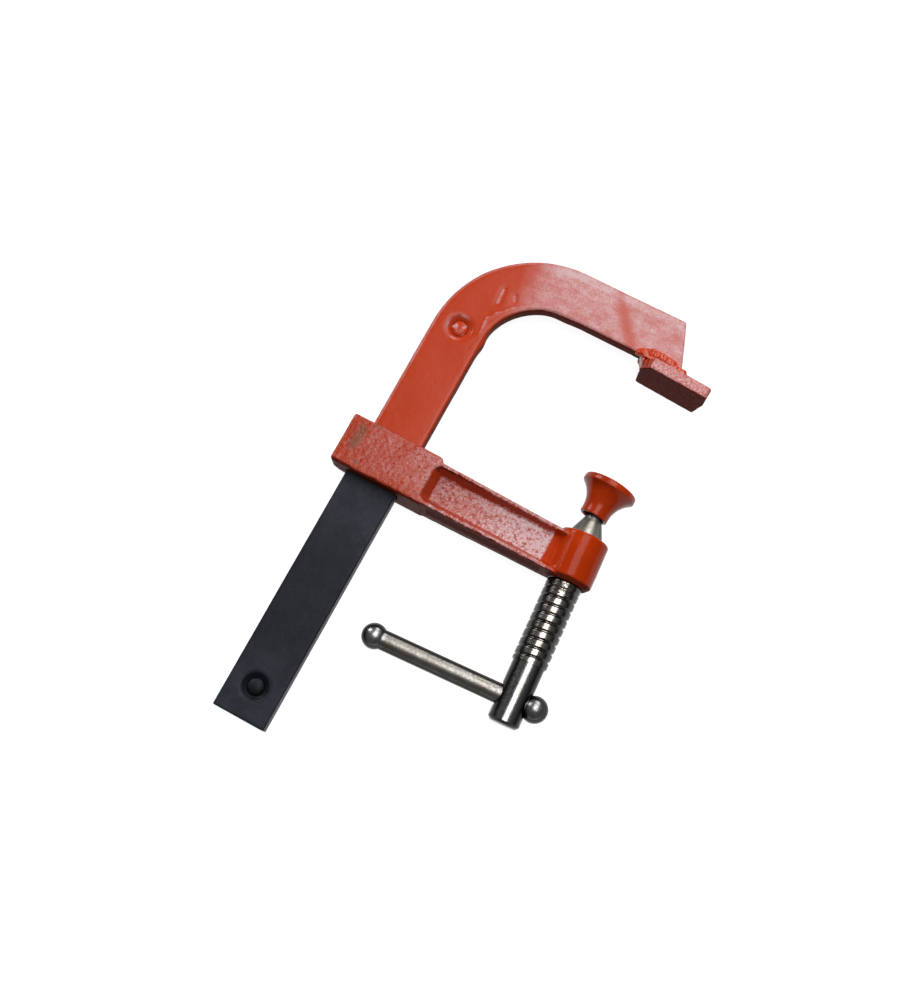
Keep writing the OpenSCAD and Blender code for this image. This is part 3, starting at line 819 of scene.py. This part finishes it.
class CLAMP_OT_anvil(bpy.types.Operator):
    """Builds the anvil plate and its weld"""

    bl_idname = "clamp.anvil"
    bl_label = "Anvil plate and weld"

    def execute(self, context):
        sizes = context.scene.clamp_sizes
        colours = context.scene.clamp_colours
        look = {
            "bright": colours.enamel,
            "deep": colours.deep_enamel,
            "grain": 800.0,
            "pit_share": 1.0,
            "rough": 0.22,
            "bump": 1.0,
            "specular": 0.30,
            "painted_sheen": 0.42,
            "glint": 0.8,
            "painted_sparkle": 0.45,
        }
        bm = evened(from_node("anvil_plate"), sizes.fine_voxel, 12)
        displaced(bm, plate_surface)
        # Painted sheen: full on the faces that look towards +Z, faint on the rest
        painted(bm, "painted_sheen", lambda place, normal: 1.0 if normal.z > 0.6 else 0.15)
        sides_apart(bm)
        finishes = [enamel("anvil_enamel", look), enamel("anvil_shaded_side_enamel", dull_and_shaded(look))]
        piece("anvil_block", bm, "rail", finishes, ["anvil_plate"])
        look = {
            "bright": (0.62, 0.062, 0.010),
            "deep": (0.46, 0.030, 0.006),
            "grain": 700.0,
            "pit_share": 0.6,
            "rough": 0.18,
            "bump": 0.3,
            "specular": 0.45,
        }
        bm = from_node("anvil_weld")
        low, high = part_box("anvil_weld")
        add_beads(bm, low.x - 0.8 * MM, high.x - low.x - 3.2 * MM)
        bm = evened(bm, sizes.weld_voxel, 9)
        displaced(bm, lambda place, normal: 0.20 * wave(place, 1.7) + 0.10 * wave(place, 0.8, 11.0))
        piece("weld_bead", bm, "rail", [enamel("weld_enamel", look)], ["anvil_weld"])
        return {"FINISHED"}


def add_beads(bm, first, length):
    """Adds a row of weld beads on each side of the arm, highest near the middle of the row."""
    count = 12
    for step in range(count):
        share = step / (count - 1)
        swell = math.sin(math.pi * min(share * 1.15, 1.0)) ** 0.7
        radius = (1.9 + 0.9 * swell + 0.5 * noise.noise(Vector((step * 2.3, 4.0, 0.1)))) * MM
        height = (8.0 + 1.6 * swell + 0.7 * noise.noise(Vector((step * 1.7, 0.3, 0.1)))) * MM
        for depth, shift in ((4.6 * MM, 0.0), (-4.6 * MM, 2.2 * MM)):
            bead = Matrix.Translation((first + length * share + shift, height, depth))
            bmesh.ops.create_icosphere(bm, subdivisions=3, radius=radius, matrix=bead)


class CLAMP_OT_sliding_arm(bpy.types.Operator):
    """Builds the cast sliding arm"""

    bl_idname = "clamp.sliding_arm"
    bl_label = "Sliding arm"

    def execute(self, context):
        sizes = context.scene.clamp_sizes
        colours = context.scene.clamp_colours
        look = {
            "bright": [share * 0.86 for share in colours.enamel],
            "deep": [share * 0.82 for share in colours.deep_enamel],
            "grain": 560.0,
            "pit_share": 0.7,
            "rough": 0.20,
            "bump": 1.0,
            "specular": 0.26,
            "painted_sheen": 0.80,
            "glint": 0.95,
            "painted_sparkle": 0.42,
            "wear": True,
        }
        boss = {
            "bright": (0.45, 0.034, 0.002),
            "deep": (0.37, 0.025, 0.001),
            "grain": 500.0,
            "pit_share": 0.2,
            "rough": 0.11,
            "bump": 0.35,
            "specular": 0.12,
        }
        matte = dict(boss)
        matte.update(specular=0.04, rough=0.3)
        # Darker still on the casting's sides and underside: painted shade
        dark_side = dull_and_shaded(look)
        dark_side.update(bright=(0.19, 0.023, 0.010), deep=(0.13, 0.017, 0.008))
        bm = evened(from_node("sliding_arm"), sizes.voxel, 3)
        for vert in bm.verts:
            vert.co.y += corner_lift(vert.co / MM) * MM
        softened(bm, at_boss_root, 24)
        displaced(bm, cast_surface)
        painted(bm, "painted_sheen", cast_painted_sheen)
        painted(bm, "wear", cast_wear)
        for face in bm.faces:
            face.material_index = cast_finish(face)
        finishes = [
            enamel("cast_enamel", look),
            enamel("cast_shaded_side_enamel", dark_side),
            enamel("boss_enamel", boss),
            enamel("boss_root_enamel", matte),
        ]
        piece("cast_arm", bm, "arm", finishes, ["sliding_arm"])
        return {"FINISHED"}


def cast_finish(face):
    """Which finish a face of the casting has: broad face 0, side 1 with painted shade, boss 2, root of
    the boss 3.
    """
    place = face.calc_center_median()
    inside = in_recess(place / MM)
    under = face.normal.dot(FEED_AXIS) < -0.5 and not inside
    at_root = off_axis(place) < ROOT_REACH * MM or (inside and place.x > -15.0 * MM)
    if at_root and not under:
        return 2 if off_axis(place) < BOSS_REACH * MM else 3
    return 1 if under or (on_edge(face) and not inside) else 0


class CLAMP_OT_screw(bpy.types.Operator):
    """Builds the clamping screw with its thread, and dresses the snap ring"""

    bl_idname = "clamp.screw"
    bl_label = "Screw and snap ring"

    def execute(self, context):
        sizes = context.scene.clamp_sizes
        colours = context.scene.clamp_colours
        lay = axis_matrix(FEED_AT, FEED_AXIS)
        thread_top = -16.2 * MM
        thread_low = -77.28 * MM
        look = {
            "stain": 0.6,
            "marks": 0.70,
            "thread_shade": True,
            "away_low": 0.06,
            "away_high": 0.22,
            "away": 0.13,
            "rough": 0.15,
            "bump": 0.10,
        }
        bm = threaded(sizes, lay, thread_low, thread_top)

        # Painted shade: darker in the thread's grooves and over the turns next to the boss
        def thread_shade(place, normal):
            groove = 0.45 * (1.0 - ramp(off_axis(place * MM) / MM, 7.45, 7.9))
            below = (FEED_AT / MM - place).dot(FEED_AXIS)
            return max(groove, 0.50 * (1.0 - ramp(below, 40.0, 56.0)))

        painted(bm, "thread_shade", thread_shade)
        steel = steel_finish("thread_steel", colours.steel * 1.35, look)
        thread = piece("screw_thread", bm, "screw", [steel], [], sharp=50.0)
        look = {
            "stain": 0.85,
            "marks": 0.15,
            "away_low": 0.08,
            "away_high": 0.26,
            "away": 0.10,
            "rough": 0.15,
            "bump": 0.012,
        }
        ends = from_node("clamp_screw")
        cut(ends, lay @ Vector((0.0, 0.0, thread_top - 0.3 * MM)), -FEED_AXIS)
        head = from_node("clamp_screw")
        cut(head, lay @ Vector((0.0, 0.0, thread_low - 0.05 * MM)), FEED_AXIS)
        joined(ends, head)
        head_colour = (0.285, 0.29, 0.30)
        bright = steel_finish("head_steel", head_colour, look)
        # worn: a rougher copy of the steel for the cone end, whose lighter colour is a painted
        # reflection
        look.update(rough=0.34, away=0.16, away_low=0.2, away_high=0.5)
        lit_cone_colour = (0.45, 0.44, 0.42)
        worn = steel_finish("cone_lit_steel", lit_cone_colour, look)
        for face in ends.faces:
            if (face.calc_center_median() - FEED_AT).dot(FEED_AXIS) > thread_top:
                face.material_index = 1
        piece("screw_ends", ends, "screw", [bright, worn], ["clamp_screw"], sharp=28.0)
        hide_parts("clamp_screw")
        ring = NODES["pad_snap_ring"]
        ring.data.materials.clear()
        ring.data.materials.append(bright)
        return {"FINISHED"}


def threaded(sizes, lay, low, high):
    """A right-hand thread between two heights, closed at both ends, its upper turns partly filled."""
    bm = bmesh.new()
    count = 18
    first = low - sizes.pitch
    turns = math.ceil((high - first) / sizes.pitch) + 1
    verts = []
    for step in range(count + 1):
        share = step / count
        swell = ramp(min(share, 1.0 - share), 0.03, 0.19)
        radius = sizes.crest - sizes.depth * (1.0 - swell)
        verts.append(bm.verts.new((radius, 0.0, first + sizes.pitch * share)))
    edges = [bm.edges.new(pair) for pair in zip(verts, verts[1:])]
    bmesh.ops.spin(
        bm,
        geom=verts + edges,
        cent=(0, 0, 0),
        axis=(0, 0, 1),
        dvec=(0, 0, sizes.pitch / sizes.turn_steps),
        angle=math.tau * turns,
        steps=sizes.turn_steps * turns,
        use_merge=False,
    )
    bmesh.ops.remove_doubles(bm, verts=bm.verts, dist=0.004 * MM)
    cut(bm, Vector((0.0, 0.0, high)), UP)
    cut(bm, Vector((0.0, 0.0, low)), -UP)
    bm.normal_update()
    rim = 0.01 * MM
    for vert in bm.verts:
        if low + rim < vert.co.z < high - rim:
            place = vert.co / MM
            outward = Vector((vert.co.x, vert.co.y, 0.0)).normalized()
            bite = min(0.0, 0.05 * wave(place, 1.4)) + min(0.0, 0.07 * wave(place, 3.0, 5.0))
            fade = 0.65 * (1.0 - ramp(-vert.co.z / MM, 41.0, 47.0))
            fill = (sizes.crest - Vector((vert.co.x, vert.co.y)).length) * fade
            vert.co += outward * (fill + bite * MM)
    bmesh.ops.transform(bm, matrix=lay, verts=bm.verts)
    return bm


def knob_profile(middle, way, size, rod):
    """The profile of one end of the handle: a ball that runs back to a short neck on the rod."""
    waist = math.degrees(math.acos((rod + 0.03 * MM) / size))
    profile = [(radius, middle + way * height) for radius, height in arc(size, 90.0, -waist, 26)]
    profile[0] = (0.0, profile[0][1])
    neck = middle - way * size * math.sin(math.radians(waist))
    profile.append((rod + 0.02 * MM, neck - way * 0.9 * MM))
    profile.append((rod + 0.01 * MM, neck - way * 1.8 * MM))
    profile.append((0.0, neck - way * 1.8 * MM))
    return profile


class CLAMP_OT_handle(bpy.types.Operator):
    """Builds the cross handle and its two swollen ends"""

    bl_idname = "clamp.handle"
    bl_label = "Cross handle"

    def execute(self, context):
        sizes = context.scene.clamp_sizes
        colours = context.scene.clamp_colours
        look = {
            "stain": 0.72,
            "marks": 0.30,
            "away_low": 0.14,
            "away_high": 0.36,
            "away": 0.08,
            "rough": 0.32,
            "bump": 0.15,
        }
        zinc = steel_finish("zinc_plate", colours.zinc, look)
        look.update(rough=0.25, marks=0.15)
        end_colour = (0.3364, 0.34452, 0.3654)
        smooth = steel_finish("zinc_ends", end_colour, look)
        lay = axis_matrix(GRIP_AT, GRIP_AXIS)
        right = 9.976 * MM
        left = -65.724 * MM
        rod = 4.5 * MM
        first = left + 1 * MM
        length = right - left - 2 * MM
        rings = 24
        side = [(rod, first + length * step / rings) for step in range(rings + 1)]
        bm = turned([(0.0, first)] + side + [(0.0, first + length)], lay, sizes.around)
        piece("cross_rod", bm, "handle", [zinc], ["tommy_bar"], sharp=40.0)
        for name, node, middle, way, size in (
            ("left_knob", "tommy_ball_left", left, -1.0, 5.8 * MM),
            ("right_knob", "tommy_ball_right", right, 1.0, 6.0 * MM),
        ):
            bm = turned(knob_profile(middle, way, size, rod), lay, sizes.around)
            piece(name, bm, "handle", [smooth], [node], sharp=40.0)
        return {"FINISHED"}


class CLAMP_OT_pad(bpy.types.Operator):
    """Builds the swivel pad"""

    bl_idname = "clamp.pad"
    bl_label = "Swivel pad"

    def execute(self, context):
        sizes = context.scene.clamp_sizes
        look = {
            "bright": (0.42, 0.032, 0.002),
            "deep": (0.30, 0.020, 0.001),
            "grain": 500.0,
            "pit_share": 0.3,
            "rough": 0.18,
            "bump": 0.2,
            "specular": 0.20,
        }
        bm = evened(from_node("swivel_pad"), sizes.fine_voxel, 2)
        displaced(bm, lambda place, normal: 0.05 * wave(place, 4.0) + 0.015 * wave(place, 1.1, 9.0))
        piece("trumpet_pad", bm, "pad", [enamel("pad_enamel", look)], ["swivel_pad"])
        return {"FINISHED"}


# Stage

CAMERA_AT = (0.008309, -0.208968, 0.560800)
CAMERA_TURN = (13.7254, 0.7850, 28.2795)
CAMERA_LENS = 46.8
CAMERA_SENSOR = 36.0
WHITE = (1.0, 1.0, 1.0)
FLOOR_SEEN = (0.30, 0.30, 0.30)
FLOOR_UNSEEN = (0.08, 0.08, 0.08)
FLOOR_GLOW = 0.92


def floor_finish():
    """White to the camera and in reflections, deep grey to the light that falls on the clamp."""
    material, tree, shader = new_material("floor_white")
    shader.inputs["Roughness"].default_value = 1.0
    shader.inputs["Specular IOR Level"].default_value = 0.0
    path = add(tree, "ShaderNodeLightPath").outputs
    seen = calculated(tree, "MAXIMUM", path["Is Camera Ray"], path["Is Glossy Ray"])
    seen = calculated(tree, "MAXIMUM", seen, path["Is Transmission Ray"])
    colour = mixed(tree, seen, rgba(FLOOR_UNSEEN), rgba(FLOOR_SEEN))
    tree.links.new(colour, shader.inputs["Base Color"])
    shader.inputs["Emission Color"].default_value = rgba(WHITE)
    glow = calculated(tree, "MULTIPLY", seen, FLOOR_GLOW)
    tree.links.new(glow, shader.inputs["Emission Strength"])
    return material


def room(strength):
    """A white world at full strength to the camera, and at the strength given to all else."""
    world = bpy.data.worlds.new("room")
    world.use_nodes = True
    tree = world.node_tree
    tree.nodes.clear()
    path = add(tree, "ShaderNodeLightPath").outputs
    shown = add(tree, "ShaderNodeMix", {0: path["Is Camera Ray"], 2: strength, 3: 1.0}).outputs[0]
    shade = add(tree, "ShaderNodeBackground", {"Color": rgba(WHITE), "Strength": shown})
    add(tree, "ShaderNodeOutputWorld", {"Surface": shade.outputs[0]})
    return world


def lamp(name, size, radiance, place, aimed):
    """A rectangular lamp of a radiance, aimed at the origin or facing straight down."""
    light = bpy.data.lights.new(name, "AREA")
    light.shape = "RECTANGLE"
    light.size, light.size_y = size
    light.energy = radiance * math.pi * size[0] * size[1]
    made = bpy.data.objects.new(name, light)
    made.location = place
    if aimed:
        made.rotation_euler = Vector(place).to_track_quat("Z", "Y").to_euler()
    bpy.context.scene.collection.objects.link(made)
    return made


class CLAMP_OT_stage(bpy.types.Operator):
    """Builds the floor, the lamps, the world and the camera"""

    bl_idname = "clamp.stage"
    bl_label = "Stage"

    def execute(self, context):
        setup = context.scene.clamp_stage
        scene = context.scene
        scene.view_settings.view_transform = "Standard"
        bm = bmesh.new()
        bmesh.ops.create_grid(bm, x_segments=1, y_segments=1, size=4.0)
        mesh = bpy.data.meshes.new("floor")
        bm.to_mesh(mesh)
        bm.free()
        mesh.materials.append(floor_finish())
        floor = bpy.data.objects.new("floor", mesh)
        floor.location.z = setup.floor_at
        scene.collection.objects.link(floor)
        scene.world = room(setup.world)
        top = lamp("soft_lamp", (0.5835, 1.0), setup.lamp, (0.058, 0.25, 1.0), aimed=False)
        back = lamp("back_lamp", (0.6, 0.45), setup.back_lamp, (-0.05, 1.1, 0.62), aimed=True)
        side = lamp("side_lamp", (0.3, 0.4), setup.side_lamp, (-0.9, 0.25, 0.45), aimed=True)
        eye = bpy.data.cameras.new("eye")
        eye.lens = CAMERA_LENS
        eye.sensor_width = CAMERA_SENSOR
        camera = bpy.data.objects.new("eye", eye)
        camera.location = CAMERA_AT
        camera.rotation_euler = [math.radians(angle) for angle in CAMERA_TURN]
        scene.collection.objects.link(camera)
        scene.camera = camera
        return {"FINISHED"}


# Add-on

class CLAMP_PT_panel(bpy.types.Panel):
    """Lists the clamp's operators"""

    bl_idname = "CLAMP_PT_panel"
    bl_label = "Bar clamp"
    bl_space_type = "VIEW_3D"
    bl_region_type = "UI"
    bl_category = "Clamp"

    def draw(self, context):
        scene = context.scene
        for operator in OPERATORS:
            self.layout.operator(operator.bl_idname)
        for settings in (scene.clamp_sizes, scene.clamp_colours, scene.clamp_stage):
            for name in settings.__annotations__:
                self.layout.prop(settings, name)


OPERATORS = (
    CLAMP_OT_bar,
    CLAMP_OT_fixed_arm,
    CLAMP_OT_anvil,
    CLAMP_OT_sliding_arm,
    CLAMP_OT_screw,
    CLAMP_OT_handle,
    CLAMP_OT_pad,
    CLAMP_OT_stage,
)
CLASSES = (ClampSizes, ClampColours, ClampStage) + OPERATORS + (CLAMP_PT_panel,)


def register():
    """Registers the classes and their settings on the scene."""
    for kind in CLASSES:
        bpy.utils.register_class(kind)
    bpy.types.Scene.clamp_sizes = PointerProperty(type=ClampSizes)
    bpy.types.Scene.clamp_colours = PointerProperty(type=ClampColours)
    bpy.types.Scene.clamp_stage = PointerProperty(type=ClampStage)


def unregister():
    """Takes the settings and the classes away again."""
    del bpy.types.Scene.clamp_stage
    del bpy.types.Scene.clamp_colours
    del bpy.types.Scene.clamp_sizes
    for kind in reversed(CLASSES):
        bpy.utils.unregister_class(kind)


def main():
    """Builds every piece and the stage."""
    register()
    bpy.ops.clamp.bar()
    bpy.ops.clamp.fixed_arm()
    bpy.ops.clamp.anvil()
    bpy.ops.clamp.sliding_arm()
    bpy.ops.clamp.screw()
    bpy.ops.clamp.handle()
    bpy.ops.clamp.pad()
    bpy.ops.clamp.stage()


if __name__ == "__main__":
    main()
